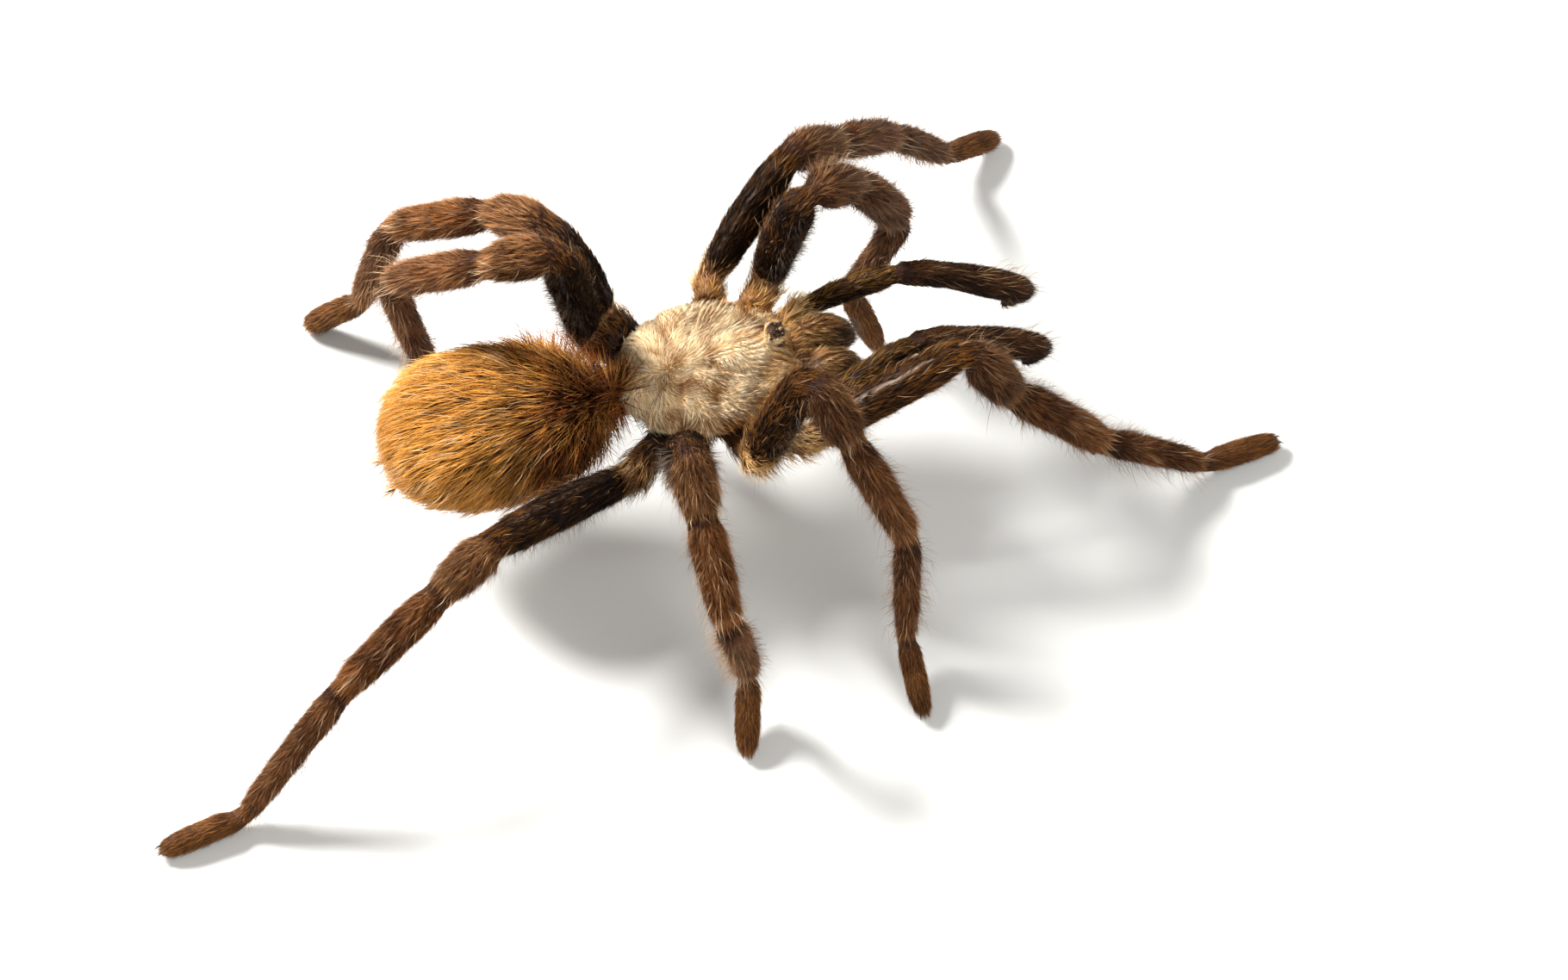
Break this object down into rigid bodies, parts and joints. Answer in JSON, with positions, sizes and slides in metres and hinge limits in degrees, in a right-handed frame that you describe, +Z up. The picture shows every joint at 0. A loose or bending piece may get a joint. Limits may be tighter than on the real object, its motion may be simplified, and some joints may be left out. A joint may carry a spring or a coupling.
{
  "type": "tarantula",
  "caption": "Life-size still model of a brown tarantula, standing with its right foreleg reaching ahead, its hairy coat modelled on every segment.",
  "frame": {"origin": "middle of the standing footprint, on the floor", "axes": "+X towards the head, +Y towards the animal's left side, +Z up from the floor"},
  "size_m": [0.1082, 0.0612, 0.0338],
  "materials": {
    "coat_carapace": "matte",
    "coat_underbody": "matte",
    "coat_abdomen": "matte",
    "coat_chelicera": "matte",
    "fang_horn": "glossy",
    "eye_gloss": "glossy",
    "coat_femur": "matte",
    "coat_leg": "matte",
    "coat_foot": "matte"
  },
  "bodies": {
    "root": {"abdomen": "coat_abdomen", "carapace": "coat_carapace", "chelicera_left": "coat_chelicera", "chelicera_right": "coat_chelicera", "eye_front_inner_left": "eye_gloss", "eye_front_inner_right": "eye_gloss", "eye_front_outer_left": "eye_gloss", "eye_front_outer_right": "eye_gloss", "eye_rear_inner_left": "eye_gloss", "eye_rear_inner_right": "eye_gloss", "eye_rear_outer_left": "eye_gloss", "eye_rear_outer_right": "eye_gloss", "fang_left": "fang_horn", "fang_right": "fang_horn", "leg1_left_femur": "coat_femur", "leg1_left_metatarsus": "coat_leg", "leg1_left_patella": "coat_leg", "leg1_left_tarsus": "coat_foot", "leg1_left_tibia": "coat_leg", "leg1_right_femur": "coat_femur", "leg1_right_metatarsus": "coat_leg", "leg1_right_patella": "coat_leg", "leg1_right_tarsus": "coat_foot", "leg1_right_tibia": "coat_leg", "leg2_left_femur": "coat_femur", "leg2_left_metatarsus": "coat_leg", "leg2_left_patella": "coat_leg", "leg2_left_tarsus": "coat_foot", "leg2_left_tibia": "coat_leg", "leg2_right_femur": "coat_femur", "leg2_right_metatarsus": "coat_leg", "leg2_right_patella": "coat_leg", "leg2_right_tarsus": "coat_foot", "leg2_right_tibia": "coat_leg", "leg3_left_femur": "coat_femur", "leg3_left_metatarsus": "coat_leg", "leg3_left_patella": "coat_leg", "leg3_left_tarsus": "coat_foot", "leg3_left_tibia": "coat_leg", "leg3_right_femur": "coat_femur", "leg3_right_metatarsus": "coat_leg", "leg3_right_patella": "coat_leg", "leg3_right_tarsus": "coat_foot", "leg3_right_tibia": "coat_leg", "leg4_left_femur": "coat_femur", "leg4_left_metatarsus": "coat_leg", "leg4_left_patella": "coat_leg", "leg4_left_tarsus": "coat_foot", "leg4_left_tibia": "coat_leg", "leg4_right_femur": "coat_femur", "leg4_right_metatarsus": "coat_leg", "leg4_right_patella": "coat_leg", "leg4_right_tarsus": "coat_foot", "leg4_right_tibia": "coat_leg", "palp_left_femur": "coat_femur", "palp_left_outer": "coat_leg", "palp_right_femur": "coat_femur", "palp_right_outer": "coat_leg", "sternum_and_coxae": "coat_underbody"}
  },
  "joints": []
}
